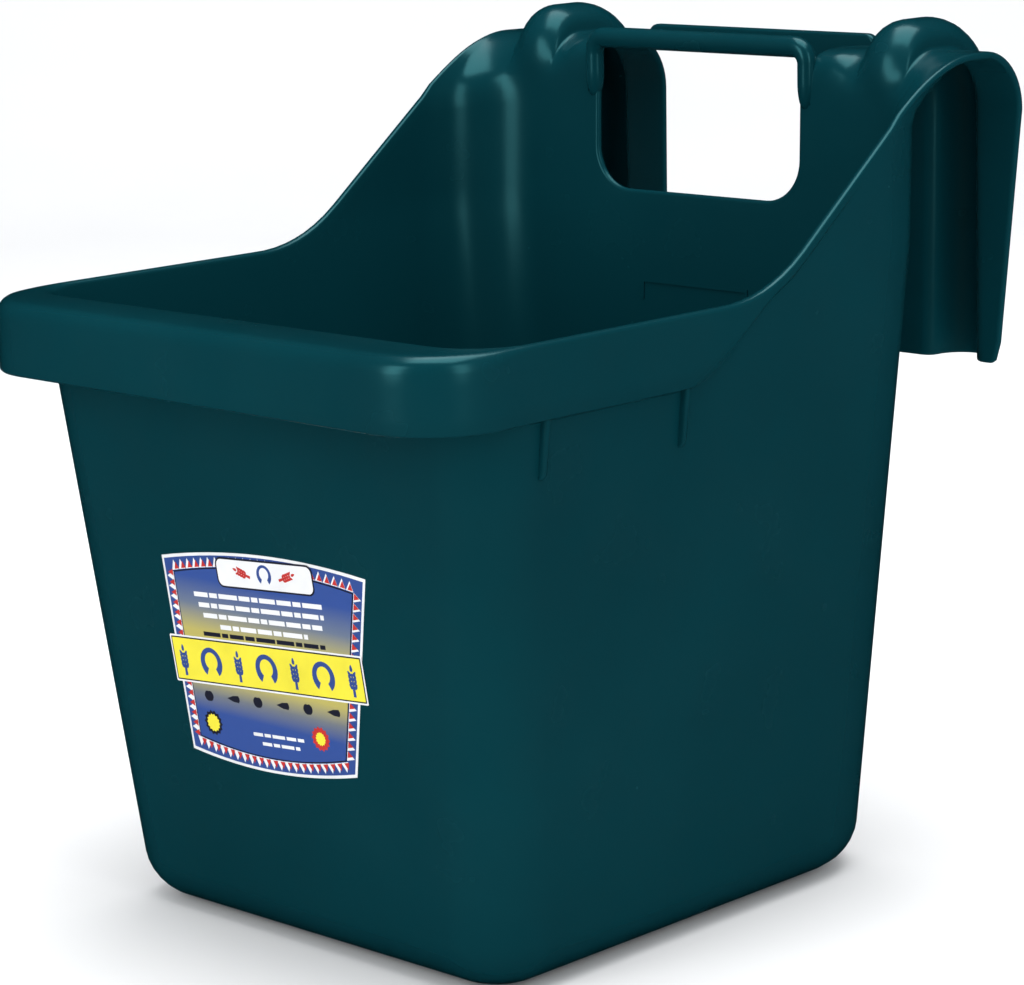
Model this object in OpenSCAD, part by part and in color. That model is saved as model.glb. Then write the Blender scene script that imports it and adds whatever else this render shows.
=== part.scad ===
/* [Tub] */
// Height of the level front rim above the floor
rim_z = 282; // [240:1:320]
// Half of the tub's width at the floor
base_half_w = 119.5; // [105:0.5:122]
// Half of the tub's depth at the floor
base_half_d = 131.5; // [120:0.5:140]
// Outward lean of the side walls, millimetres per millimetre of height
side_draft = 0.09; // [0.07:0.005:0.09]
// Outward lean of the front wall, millimetres per millimetre of height
front_draft = 0.098; // [0.06:0.002:0.11]
// Outward lean of the flat back, millimetres per millimetre of height
back_draft = 0.03; // [0.01:0.005:0.04]
// Thickness of the moulded wall
wall = 3.5; // [2.5:0.1:4.5]
// Radius of the rounding between floor and walls
floor_r = 22; // [14:1:26]
// Outer radius of the two front corners
front_r = 31; // [24:1:36]
// Outer radius of the two rear corners
rear_r = 42; // [34:1:46]

/* [Lip] */
// Half of the width across the lip, hooks and upper sides
lip_half_w = 146; // [145.5:0.5:150]
// How far the front lip stands out from the tub's centre line
lip_front = 186.6; // [180:0.2:192]
// Height of the lip's hanging skirt
skirt_h = 32; // [24:1:36]
// Corner radius of the lip, seen from above
lip_r = 37; // [32:1:40]
// Radius of the lip's rounded outer edge
lip_round = 7; // [4:0.5:8]
// Where the side lip starts to sweep up into the side
sweep_y = -28; // [-40:1:-20]
// Where the side lip has faded out
sweep_end_y = 20; // [10:1:30]

/* [Back and hooks] */
// Height of the top of the hooks
crest_z = 374; // [360:1:390]
// Height at which the back wall starts to curl over
curl_z = 352; // [345:1:356]
// Height at which the rear corner's top edge meets the side
shoulder_z = 347.5; // [342:0.5:350]
// Gap between the back wall and the hanging plates
gap = 52; // [44:1:56]
// Radius of the hook's rear bend, outside
bend_r = 28; // [22:1:30]
// Height of the lower end of the hanging plates
plate_z = 227; // [215:1:260]
// Distance from the centre line to the hooks' inner edges
hook_in = 69; // [67:0.5:72]
// Width that each hook's outer edge loses towards its lower end
hook_taper = 12; // [4:1:14]
// Distance from the centre line to the middle of each stiffening dome
dome_x = 108; // [104:1:110]
// Half of the dome's width
dome_half_w = 14.3; // [11:0.1:15]
// Height of the dome at the top of the hook
dome_h = 14; // [9:1:16]
// Depth of the channel in the hanging plate
channel_h = 19; // [12:1:22]

/* [Hand hole] */
// Half of the hand hole's width
hole_half_w = 62.2; // [55:0.1:64]
// Height of the hand hole's lower edge
hole_z = 303; // [295:1:315]
// Radius of the hole's lower corners
hole_r = 20; // [10:1:26]
// Height of the grip bar's middle
grip_z = 375; // [371:0.5:377]
// Radius of the grip bar
grip_r = 5; // [4:0.25:6]
// Top of the tie bar between the two hooks
tie_top_z = 378; // [374:1:384]
// Height of the tie bar
tie_h = 13; // [9:1:16]
// Thickness of the tie bar
tie_t = 5; // [3:0.5:7]

/* [Small features] */
// Distance of the front stacking ribs ahead of the tub's centre
rib_front_y = 122; // [100:1:130]
// Distance of the rear stacking ribs ahead of the tub's centre
rib_rear_y = 37; // [30:1:60]
// Length of a stacking rib
rib_len = 25; // [15:1:35]
// Thickness of a stacking rib
rib_t = 3; // [2:0.5:5]
// Width of the label on the front wall
label_w = 130; // [100:1:140]
// Height of the label
label_h = 88; // [70:1:110]
// Height of the label's middle
label_z = 134; // [110:1:160]
// Thickness of the label
label_t = 0.3; // [0.2:0.05:0.5]

/* [Hidden] */

teal = "#0b4650";
label_blue = "#3a5fb0";
arc_steps = 8;
skirt_z = rim_z - skirt_h;
back_angle = atan(back_draft);
front_angle = atan(front_draft);
// Corners of the label from its middle, as shares of its width and height: it narrows downwards and
// sits slightly askew
label_corners = [[0.515, 0.51], [-0.477, 0.42], [-0.43, -0.59], [0.377, -0.52]];
// How far the label's top and bottom edges bow outwards
label_bow = 5;

// The hook's section: the curl ends at crest_y, and the plates hang at plate_y
plate_y = back_y(curl_z) + gap + wall;
bend_y = plate_y - bend_r;
bend_z = crest_z - bend_r;
crest_y = bend_y - 8.5;
corner_y = back_y(curl_z) - rear_r;
corner_x = lip_half_w - rear_r;

// The frame's origin is below the middle of the whole object's box
rear_most = plate_y + channel_h;
shift_y = (lip_front - rear_most) / 2;

// Outer half width, front and back of the tub at a height
function half_w(z) = min(base_half_w + side_draft * z, lip_half_w);
function front_y(z) = -(base_half_d + front_draft * z);
function back_y(z) = base_half_d + back_draft * z;
function lerp(a, b, f) = a + (b - a) * f;
function smooth(f) = let (g = min(max(f, 0), 1)) g * g * (3 - 2 * g);
function arc(c, r, a0, a1, steps) =
    [for (i = [0:steps]) let (a = a0 + (a1 - a0) * i / steps) c + r * [cos(a), sin(a)]];

// A rounded rectangle, anticlockwise from above, with its own front and rear radii
function outline(w, yf, yb, rf, rb) = concat(
    arc([w - rf, yf + rf], rf, -90, 0, arc_steps),
    arc([w - rb, yb - rb], rb, 0, 90, arc_steps),
    arc([rb - w, yb - rb], rb, 90, 180, arc_steps),
    arc([rf - w, yf + rf], rf, 180, 270, arc_steps));
function at_z(outline, z) = [for (p = outline) [p[0], p[1], z]];
function tub_ring(z, inset, draft_z) = at_z(outline(half_w(draft_z) - inset,
    front_y(draft_z) + inset, back_y(draft_z) - inset,
    front_r - inset, rear_r - inset), z);

// A closed solid through rings of equal length: wrapped round into a tube, or capped at its ends
module ring_solid(rings, wrapped) {
    n = len(rings[0]);
    m = len(rings);
    last = wrapped ? m - 1 : m - 2;
    sides = [for (j = [0:last], i = [0:n - 1])
        let (a = j * n + i, b = j * n + (i + 1) % n, c = ((j + 1) % m) * n + i,
            d = ((j + 1) % m) * n + (i + 1) % n)
        each [[a, d, b], [a, c, d]]];
    caps = wrapped ? [] : [[for (i = [0:n - 1]) i], [for (i = [n - 1:-1:0]) (m - 1) * n + i]];
    polyhedron([for (r = rings) each r], concat(sides, caps), convexity = 6);
}

// A closed solid between a face and its backing, both given as rows of points
module patch_solid(face, backing) {
    n = len(face[0]);
    m = len(face);
    k = n * m;
    skin = [for (j = [0:m - 2], i = [0:n - 2]) let (a = j * n + i, b = a + 1, c = a + n, d = c + 1)
        each [[a, d, b], [a, c, d], [k + a, k + b, k + d], [k + a, k + d, k + c]]];
    rims = [for (i = [0:n - 2]) let (a = i, b = i + 1, c = (m - 1) * n + i, d = c + 1)
        each [[a, k + b, k + a], [a, b, k + b], [c, k + c, k + d], [c, k + d, d]]];
    ends = [for (j = [0:m - 2]) let (a = j * n, b = a + n, c = j * n + n - 1, d = c + n)
        each [[a, k + b, b], [a, k + a, k + b], [c, d, k + d], [c, k + d, k + c]]];
    polyhedron([for (r = concat(face, backing)) each r], concat(skin, rims, ends), convexity = 6);
}

// Puts a module drawn about the tub's centre into the part's own frame, on the right or left
module on_right() {
    translate([0, shift_y, 0]) children();
}
module on_left() {
    translate([0, shift_y, 0]) mirror([1, 0, 0]) children();
}

// The tub's shell as rings: up the rounding from the floor plate, then up the wall to the rim
round_steps = 6;
function shell_rings(r, inset) = concat([for (i = [0:round_steps])
    let (a = 90 * i / round_steps, z = floor_r - r * cos(a)) tub_ring(z, inset + r * (1 - sin(a)), z)],
    [tub_ring(rim_z, inset, rim_z)]);
outer_rings = shell_rings(floor_r, 0);
inner_rings = shell_rings(floor_r - wall, wall);

module tub_floor() {
    color(teal) on_right() ring_solid([outer_rings[0], inner_rings[0]], false);
}

// A stretch of the shell, between two of the outline's points
ring_size = 4 * (arc_steps + 1);
module shell_part(first, last) {
    function column(rings, i) = [for (r = rings) r[i % ring_size]];
    stretch = [first:last];
    patch_solid([for (i = stretch) column(inner_rings, i)], [for (i = stretch) column(outer_rings, i)]);
}
module corner(quarter) color(teal) on_right()
    shell_part(quarter * (arc_steps + 1), quarter * (arc_steps + 1) + arc_steps);
module flat_wall(quarter) color(teal) on_right()
    shell_part(quarter * (arc_steps + 1) + arc_steps, (quarter + 1) * (arc_steps + 1));
module front_right_corner() corner(0);
module right_wall() flat_wall(0);
module rear_right_corner() corner(1);
module rear_wall() flat_wall(1);
module rear_left_corner() corner(2);
module left_wall() flat_wall(2);
module front_left_corner() corner(3);
module front_wall() flat_wall(3);

// The tub's outer face nearest to a point of the lip's front corner, at a height
function skin_at(e, z) =
    let (c = [half_w(z) - front_r, front_y(z) + front_r], v = e - c,
        a = min(max(atan2(v[1], v[0]), -90), 0))
    c + front_r * [cos(a), sin(a)];

// The lip's outer edge from the right side round to the middle of the front
lip_side_y = front_y(rim_z) + front_r;
lip_corner = [lip_half_w - lip_r, lip_r - lip_front];
lip_edge = concat([[lip_half_w, lip_side_y], [lip_half_w, (lip_side_y + lip_corner[1]) / 2]],
    arc(lip_corner, lip_r, 0, -90, arc_steps));

// A point of the lip's section, some way in from the edge
function lip_in(e, inset, z) =
    let (s = skin_at(e, z), f = inset / norm(e - s)) [lerp(e[0], s[0], f), lerp(e[1], s[1], f), z];
function lip_section(e) =
    let (top = norm(e - skin_at(e, rim_z)), low = norm(e - skin_at(e, skirt_z)),
        r = min(lip_round, 0.6 * top), clear = 0.2,
        t_top = min(wall, top - clear), t_low = min(wall, low - clear))
    concat([lip_in(e, top, rim_z)],
        [for (a = [0:22.5:90]) lip_in(e, r * (1 - sin(a)), rim_z - r * (1 - cos(a)))],
        [lip_in(e, 0, skirt_z), lip_in(e, t_low, skirt_z), lip_in(e, t_top, rim_z - wall),
            lip_in(e, norm(e - skin_at(e, rim_z - wall)), rim_z - wall)]);
function mirrored(points) = [for (p = points) [-p[0], p[1], p[2]]];

module front_lip() {
    right = [for (i = [len(lip_edge) - 1:-1:0]) lip_section(lip_edge[i])];
    left = [for (e = lip_edge) mirrored(lip_section(e))];
    color(teal) on_right() ring_solid(concat(left, right), false);
}

// Lower edge of the side lip, which sweeps up into the side
function sweep_z(y) = let (f = max(0, (y - sweep_y) / (sweep_end_y - sweep_y)))
    lerp(skirt_z, rim_z - 0.6, pow(f, 1.3));
module side_lip() {
    low_steps = 8;
    stations = concat([lip_side_y], [for (i = [0:low_steps]) lerp(sweep_y, sweep_end_y, i / low_steps)]);
    ring_solid([for (y = stations) let (z = sweep_z(y))
        [[half_w(rim_z), y, rim_z], [lip_half_w, y, rim_z], [lip_half_w, y, z], [half_w(z), y, z]]], false);
}
module left_side_lip() color(teal) on_left() side_lip();
module right_side_lip() color(teal) on_right() side_lip();

// Top edge of the upper side: an arc that rises from the rim, then a straight slope to the shoulder
slope_y = -12;
slope_r = 82;
slope_far = [corner_y - slope_y, shoulder_z - rim_z - slope_r];
slope_a = asin(slope_r / norm(slope_far)) + atan2(slope_far[1], slope_far[0]);
function slope_z(y) = let (d = y - slope_y, bend = slope_r * sin(slope_a))
    rim_z + (d < bend ? slope_r - sqrt(slope_r * slope_r - d * d)
        : slope_r * (1 - cos(slope_a)) + (d - bend) * tan(slope_a));

// A column of the upper side: straight part at a y, or the rear corner at an angle from the side
function cheek_side(y, inset) = let (blend = smooth((y - sweep_end_y) / 40), top = slope_z(y))
    [for (v = [0:0.2:1]) let (z = lerp(rim_z, top, v), full = inset > 0 ? half_w(z) : lip_half_w)
        [lerp(full, half_w(z), blend) - inset, y, z]];
function cheek_corner(a, inset) = let (top = curl_from(a))
    [for (v = [0:0.2:1]) let (z = lerp(rim_z, top, v))
        [half_w(z) - rear_r + (rear_r - inset) * cos(a), back_y(z) - rear_r + (rear_r - inset) * sin(a), z]];
function curl_from(a) = lerp(shoulder_z, curl_z, sin(a));
module cheek() {
    first_y = slope_y + 8;
    side_steps = 12;
    ys = [for (i = [0:side_steps - 1]) lerp(first_y, corner_y - 3, i / (side_steps - 1))];
    angles = [for (i = [0:arc_steps]) 90 * i / arc_steps];
    outer = concat([for (y = ys) cheek_side(y, 0)], [for (a = angles) cheek_corner(a, 0)]);
    inner = concat([for (y = ys) cheek_side(y, wall)], [for (a = angles) cheek_corner(a, wall)]);
    patch_solid(inner, outer);
}
module left_cheek() color(teal) on_left() cheek();
module right_cheek() color(teal) on_right() cheek();

// Stands a flat shape up on the back wall's outer face, some way in from it
module on_back(inset, thickness) {
    translate([0, base_half_d, 0]) rotate([-back_angle, 0, 0]) translate([0, -inset, 0])
        rotate([90, 0, 0]) linear_extrude(thickness) children();
}
module back_panel() {
    low_x = half_w(rim_z) - rear_r;
    full_z = (lip_half_w - base_half_w) / side_draft;
    right = concat([[low_x, rim_z], [corner_x, full_z], [corner_x, curl_z], [hole_half_w, curl_z]],
        arc([hole_half_w - hole_r, hole_z + hole_r], hole_r, 0, -90, arc_steps));
    left = [for (i = [len(right) - 1:-1:0]) [-right[i][0], right[i][1]]];
    color(teal) on_right() on_back(0, wall) polygon(concat(right, left));
}

module handle_grip() {
    y = back_y(curl_z) - wall / 2;
    post_r = (hook_in - hole_half_w) / 2;
    color(teal) on_right() {
        translate([-hook_in, y, grip_z]) rotate([0, 90, 0]) cylinder(r = grip_r, h = 2 * hook_in, $fn = 48);
        for (side = [-1, 1]) translate([side * (hook_in - post_r), y, curl_z])
            cylinder(r = post_r, h = grip_z - curl_z, $fn = 32);
    }
}

module rear_tie_bar() {
    low_z = tie_top_z - tie_h;
    right = concat([[hook_in, low_z]], arc([hook_in - 4, tie_top_z - 4], 4, 0, 90, 6));
    left = [for (i = [len(right) - 1:-1:0]) [-right[i][0], right[i][1]]];
    color(teal) on_right() translate([0, bend_y + bend_r * 0.62 + tie_t / 2, 0]) rotate([90, 0, 0])
        linear_extrude(tie_t) polygon(concat(right, left));
}

// The hook's section as stages: [part, progress], from the top of the back wall to the plate's end
stages = concat([for (i = [0:8]) ["curl", i / 8]], [for (i = [0:8]) ["bend", i / 8]],
    [for (i = [1:4]) ["plate", i / 4]]);
function plate_f(s) = s[0] == "plate" ? s[1] : 0;
// Direction away from the hook's surface, in y and z
function away(s) = s[0] == "curl" ? [-cos(90 * s[1]), sin(90 * s[1])]
    : s[0] == "bend" ? [sin(90 * s[1]), cos(90 * s[1])] : [1, 0];
// A point on the hook's upper skin (inset 0) or its underside (inset = wall). The curl is a cubic
// curve that leaves the back wall straight up, and leaves the side along the side's own slope
function bezier(p, t) = pow(1 - t, 3) * p[0] + 3 * t * pow(1 - t, 2) * p[1]
    + 3 * t * t * (1 - t) * p[2] + pow(t, 3) * p[3];
function hook_point(x, s, inset) =
    let (turn = min(max((x - corner_x) / rear_r, 0), 1), side = cos(asin(turn)), lead = smooth(turn),
        foot = [min(x, corner_x) + (rear_r - wall + inset) * turn,
            corner_y + (rear_r - wall + inset) * side, lerp(curl_z, shoulder_z, turn)],
        top = [x, crest_y, crest_z - inset], run = top - foot,
        square = smooth((dome_x - 1.25 * dome_half_w - x) / 10),
        leave = [0.3 * run[0], 0.43 * lead * run[1], lerp(0.55 + 0.3 * square, 0.77, lead) * run[2]],
        arrive = [0.3 * run[0], lerp(0.55 + 0.3 * square, 0.31, lead) * run[1], 0], a = 90 * s[1])
    s[0] == "curl" ? bezier([foot, foot + leave, top - arrive, top], s[1])
    : s[0] == "bend" ? [x, bend_y + (bend_r - inset) * sin(a), bend_z + (bend_r - inset) * cos(a)]
    : [x, plate_y - inset, lerp(bend_z, plate_z, s[1])];

// The plates' edges at a stage: the hook's own edges, and those of the dome
function dome_w(s) = lerp(dome_half_w, dome_half_w + 1.7, plate_f(s));
function outer_x(s) = lip_half_w - hook_taper * plate_f(s);
module strap(from_dome, edge_steps) {
    function span(s) = from_dome > 0 ? [dome_x + dome_w(s), outer_x(s)]
        : [hook_in + plate_f(s), dome_x - dome_w(s)];
    function row(s, inset) = let (e = span(s))
        [for (i = [0:edge_steps]) hook_point(lerp(e[0], e[1], i / edge_steps), s, inset)];
    patch_solid([for (s = stages) row(s, 0)], [for (s = stages) row(s, wall)]);
}
module left_hook_inner_strap() color(teal) on_left() strap(-1, 2);
module right_hook_inner_strap() color(teal) on_right() strap(-1, 2);
module left_hook_outer_strap() color(teal) on_left() strap(1, 6);
module right_hook_outer_strap() color(teal) on_right() strap(1, 6);

// Height of the dome above the hook's skin, and the dome's shell
function dome_rise(s) = s[0] == "curl" ? lerp(dome_root_h, dome_h, smooth(s[1]))
    : s[0] == "bend" ? lerp(dome_h, channel_h, s[1]) : channel_h;
dome_root_h = 2;
dome_side = 2.8;
module dome() {
    angles = [for (a = [15:15:165]) a];
    function lifted(p, s, a) = let (n = away(s) * dome_rise(s) * sin(a)) [p[0], p[1] + n[0], p[2] + n[1]];
    function row(s, inset, thin) = let (w = dome_w(s))
        concat([hook_point(dome_x + w, s, inset)],
            [for (a = angles) lifted(hook_point(dome_x + (w - thin) * cos(a), s, inset), s, a)],
            [hook_point(dome_x - w, s, inset)]);
    patch_solid([for (s = stages) row(s, wall, dome_side)], [for (s = stages) row(s, 0, 0)]);
}
module left_hook_dome() color(teal) on_left() dome();
module right_hook_dome() color(teal) on_right() dome();

// The dome's foot, which fades into the inside of the back wall
module dome_root() {
    fade_z = curl_z - 52;
    function inside(x, z) = let (d = max(x - corner_x, 0), r = rear_r - wall)
        [x, back_y(z) - rear_r + sqrt(r * r - d * d), z];
    function row(z, lift) = let (h = dome_root_h * pow((z - fade_z) / (curl_z - fade_z), 1.5))
        [for (a = [0:15:180]) inside(dome_x + dome_half_w * cos(a), z) - [0, lift * (0.15 + h * sin(a)), 0]];
    zs = [for (i = [0:6]) lerp(fade_z, curl_z, i / 6)];
    patch_solid([for (z = zs) row(z, 0)], [for (z = zs) row(z, 1)]);
}
module left_dome_root() color(teal) on_left() dome_root();
module right_dome_root() color(teal) on_right() dome_root();

module stacking_rib(y) {
    low_z = skirt_z - rib_len;
    translate([0, -y + rib_t / 2, 0]) rotate([90, 0, 0]) linear_extrude(rib_t)
        polygon([[half_w(skirt_z), skirt_z], [half_w(low_z), low_z], [half_w(low_z) + 3, low_z + 1],
            [lip_half_w - 0.5, skirt_z]]);
}
module left_front_stacking_rib() color(teal) on_left() stacking_rib(rib_front_y);
module left_rear_stacking_rib() color(teal) on_left() stacking_rib(rib_rear_y);
module right_front_stacking_rib() color(teal) on_right() stacking_rib(rib_front_y);
module right_rear_stacking_rib() color(teal) on_right() stacking_rib(rib_rear_y);

module level_marks() {
    mark_z = 259;
    mark_w = 66;
    mark_t = 0.6;
    color(teal) on_right() on_back(wall, mark_t) {
        translate([-mark_w / 2, mark_z]) square([mark_w, 1.4]);
        for (x = [-mark_w / 2, mark_w / 2 - 1.4]) translate([x, mark_z - 8]) square([1.4, 8]);
    }
}

module label() {
    p = [for (c = label_corners) [c[0] * label_w, c[1] * label_h]];
    outline = [for (k = [0, 2]) for (i = [0:10]) let (f = i / 10)
        lerp(p[k], p[k + 1], f) + [0, (1 - k) * 4 * label_bow * f * (1 - f)]];
    color(label_blue) on_right() translate([label_x, -base_half_d, 0]) rotate([front_angle, 0, 0])
        translate([0, 0, label_z]) rotate([90, 0, 0]) linear_extrude(label_t) polygon(outline);
}
label_x = -2;

tub_floor();
front_wall();
left_wall();
right_wall();
rear_wall();
front_left_corner();
front_right_corner();
rear_left_corner();
rear_right_corner();
front_lip();
left_side_lip();
right_side_lip();
left_cheek();
right_cheek();
back_panel();
handle_grip();
rear_tie_bar();
left_hook_inner_strap();
right_hook_inner_strap();
left_hook_outer_strap();
right_hook_outer_strap();
left_hook_dome();
right_hook_dome();
left_dome_root();
right_dome_root();
left_front_stacking_rib();
left_rear_stacking_rib();
right_front_stacking_rib();
right_rear_stacking_rib();
level_marks();
label();
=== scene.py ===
"""A hook-over feed bucket: one glossy teal moulding with a printed label, on a pale studio floor."""
import math

import bmesh
import bpy
import numpy as np
from mathutils import Matrix, Vector


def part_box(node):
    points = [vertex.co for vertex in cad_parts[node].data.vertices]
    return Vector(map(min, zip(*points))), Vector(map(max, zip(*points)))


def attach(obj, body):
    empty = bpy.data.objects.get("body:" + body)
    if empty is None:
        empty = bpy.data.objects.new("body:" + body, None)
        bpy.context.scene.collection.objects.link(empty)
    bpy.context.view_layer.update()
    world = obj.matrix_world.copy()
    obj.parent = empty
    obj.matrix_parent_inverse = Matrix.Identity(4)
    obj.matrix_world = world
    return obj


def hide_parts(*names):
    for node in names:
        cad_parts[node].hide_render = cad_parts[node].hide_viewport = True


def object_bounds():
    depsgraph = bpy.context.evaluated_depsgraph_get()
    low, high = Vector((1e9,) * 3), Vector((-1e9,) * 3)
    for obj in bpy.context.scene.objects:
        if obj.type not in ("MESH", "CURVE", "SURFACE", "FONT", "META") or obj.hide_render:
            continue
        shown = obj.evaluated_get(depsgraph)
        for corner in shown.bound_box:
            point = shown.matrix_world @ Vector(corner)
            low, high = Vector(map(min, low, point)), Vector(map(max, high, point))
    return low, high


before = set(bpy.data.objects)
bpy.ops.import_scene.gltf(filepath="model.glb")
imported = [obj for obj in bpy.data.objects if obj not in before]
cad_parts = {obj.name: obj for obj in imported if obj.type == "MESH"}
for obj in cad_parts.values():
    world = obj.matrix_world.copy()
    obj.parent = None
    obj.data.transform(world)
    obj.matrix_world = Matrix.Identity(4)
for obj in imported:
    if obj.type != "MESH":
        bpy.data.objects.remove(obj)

cad_box = [list(corner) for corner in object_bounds()]
MM = 0.001


def box_mm(node):
    low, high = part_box(node)
    return np.array(low) / MM, np.array(high) / MM


# ---------------------------------------------------------------- sizes, in millimetres
LIP_FRONT = 186.6
SHIFT_Y = cad_box[0][1] / MM + LIP_FRONT
RIM_Z = box_mm("front_wall")[1][2]
SKIRT_Z = box_mm("front_lip")[0][2]
WALL = box_mm("tub_floor")[1][2]
HALF_W = box_mm("right_side_lip")[1][0]
HOOK_IN, PLATE_Z = box_mm("right_hook_inner_strap")[0][[0, 2]]
CREST_Z = box_mm("right_hook_inner_strap")[1][2]
DOME_TOP_Z = box_mm("right_hook_dome")[1][2]
PLATE_Y = box_mm("right_hook_inner_strap")[1][1] - SHIFT_Y
CHANNEL = box_mm("right_hook_dome")[1][1] - SHIFT_Y - PLATE_Y
BASE_HALF_W = 119.5
BASE_HALF_D = 131.5
SIDE_DRAFT, FRONT_DRAFT, BACK_DRAFT = 0.09, 0.098, 0.03
FLOOR_R = 22
FRONT_R = 31
REAR_R = 42
LIP_R = 37
CURL_Z = 352
SHOULDER_Z = 347.5
BEND_R = 28
HOOK_TAPER = 12
DOME_X = 108
DOME_HALF_W = 14.3
HOLE_HALF_W = 62.2
HOLE_Z = 303
HOLE_R = 20
CREST_LEAD = 8.5
CORNER_X = HALF_W - REAR_R
BEND_Y = PLATE_Y - BEND_R
BEND_Z = CREST_Z - BEND_R
CREST_Y = BEND_Y - CREST_LEAD


def half_w(z):
    return min(BASE_HALF_W + SIDE_DRAFT * z, HALF_W)


def front_y(z):
    return -(BASE_HALF_D + FRONT_DRAFT * min(z, RIM_Z))


def back_y(z):
    return BASE_HALF_D + BACK_DRAFT * z


def lerp(a, b, f):
    return a + (b - a) * f


def smooth(f):
    f = min(max(f, 0.0), 1.0)
    return f * f * (3 - 2 * f)


def unit(v):
    return v / max(np.linalg.norm(v), 1e-9)


def point(xy, z):
    return np.array([xy[0], xy[1], z])


# ---------------------------------------------------------------- the shell's columns
# A column is (kind, value): it runs from the floor's middle up the inside and back down the outside.
# The value is a share of a straight, an angle of the front corner, or a distance across the back
def ring_xy(column, z, inset):
    kind, value = column
    w = half_w(z)
    if kind == "front":
        return np.array([value * (w - FRONT_R), front_y(z) + inset])
    if kind == "front_corner":
        r = FRONT_R - inset
        return np.array([w - FRONT_R + r * math.cos(value), front_y(z) + FRONT_R + r * math.sin(value)])
    if kind == "side":
        return np.array([w - inset, lerp(front_y(z) + FRONT_R, back_y(z) - REAR_R, value)])
    if kind == "back":
        return np.array([value, back_y(z) - inset])
    turn = min(max((value - CORNER_X) / REAR_R, 0), 1)
    centre_x = w - REAR_R
    r = REAR_R - inset
    x = centre_x + r * turn
    if turn == 0:
        x = HOOK_IN + (value - HOOK_IN) * (centre_x - HOOK_IN) / (CORNER_X - HOOK_IN)
    return np.array([x, back_y(z) - REAR_R + r * math.sqrt(1 - turn * turn)])


ROUND_STEPS = 8
CROWN_STEPS = 11
BAND_STEPS = 4
# Shares of the wall's height for its rows, closer together beside the hand hole
WALL_ROWS = [0.0, 0.14, 0.28, 0.42, 0.56, 0.7, 0.8, 0.82, 0.84, 0.86, 0.88, 0.9, 0.92, 0.94, 0.96, 0.98, 1.0]
HOLE_ROW = 6
FLOOR_ROWS = [0.0, 0.35, 0.7]


def floor_points(column, z, inset):
    """The flat floor, from its middle outwards to the foot of the rounding."""
    edge = ring_xy(column, z, inset)
    return [point(edge * f, z) for f in FLOOR_ROWS]


def round_points(column, r, inset):
    angles = [math.pi / 2 * i / ROUND_STEPS for i in range(ROUND_STEPS + 1)]
    rows = []
    for a in angles:
        z = FLOOR_R - r * math.cos(a)
        rows.append(point(ring_xy(column, z, inset + r * (1 - math.sin(a))), z))
    return rows


# ---------------------------------------------------------------- the lip and the upper side
SLOPE_Y, SLOPE_R = -12, 82
CORNER_Y = back_y(CURL_Z) - REAR_R
FAR = np.array([CORNER_Y - SLOPE_Y, SHOULDER_Z - RIM_Z - SLOPE_R])
SLOPE_A = math.asin(SLOPE_R / np.linalg.norm(FAR)) + math.atan2(FAR[1], FAR[0])
SWEEP_Y, SWEEP_END_Y = -38, 22
BAND_H = 5


def slope_z(y):
    """Top edge of the upper side: level, then an arc, then a straight slope to the shoulder."""
    d = max(y - SLOPE_Y, 0)
    bend = SLOPE_R * math.sin(SLOPE_A)
    if d < bend:
        return RIM_Z + SLOPE_R - math.sqrt(SLOPE_R * SLOPE_R - d * d)
    return RIM_Z + SLOPE_R * (1 - math.cos(SLOPE_A)) + (d - bend) * math.tan(SLOPE_A)


def band_z(y):
    """Lower edge of the raised band under the top edge."""
    return lerp(SKIRT_Z, slope_z(y) - BAND_H, smooth((y - SWEEP_Y) / (SWEEP_END_Y - SWEEP_Y)))


def lip_edge(column):
    """The lip's outer edge beside a column, seen from above."""
    kind, value = column
    if kind == "front":
        return np.array([value * (HALF_W - LIP_R), -LIP_FRONT])
    if kind == "side":
        return np.array([HALF_W, ring_xy(column, RIM_Z, 0)[1]])
    centre = np.array([HALF_W - LIP_R, LIP_R - LIP_FRONT])
    straight = front_y(RIM_Z) + FRONT_R - centre[1]
    travel = (value / (math.pi / 2) + 1) * (LIP_R * math.pi / 2 + straight)
    a = travel / LIP_R - math.pi / 2
    if a < 0:
        return centre + LIP_R * np.array([math.cos(a), math.sin(a)])
    return np.array([HALF_W, centre[1] + travel - LIP_R * math.pi / 2])


# The band stands this far proud of the upper side, and fades out over a length before the rear corner
BAND_PROUD = 0.9
FADE_Y, FADE_LENGTH = 35, 50


def side_fade(y):
    """The share of the band's height that is left, along the side."""
    return 1 - smooth((y - FADE_Y) / FADE_LENGTH)


def outer_xy(column, z):
    xy = ring_xy(column, z, 0)
    if column[0] == "side":
        xy[0] = min(xy[0], HALF_W - BAND_PROUD * side_fade(xy[1]))
    return xy


LIP_INNER_R, LIP_OUTER_R = 3.0, 7.0
ARC_STEPS = 5


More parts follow.
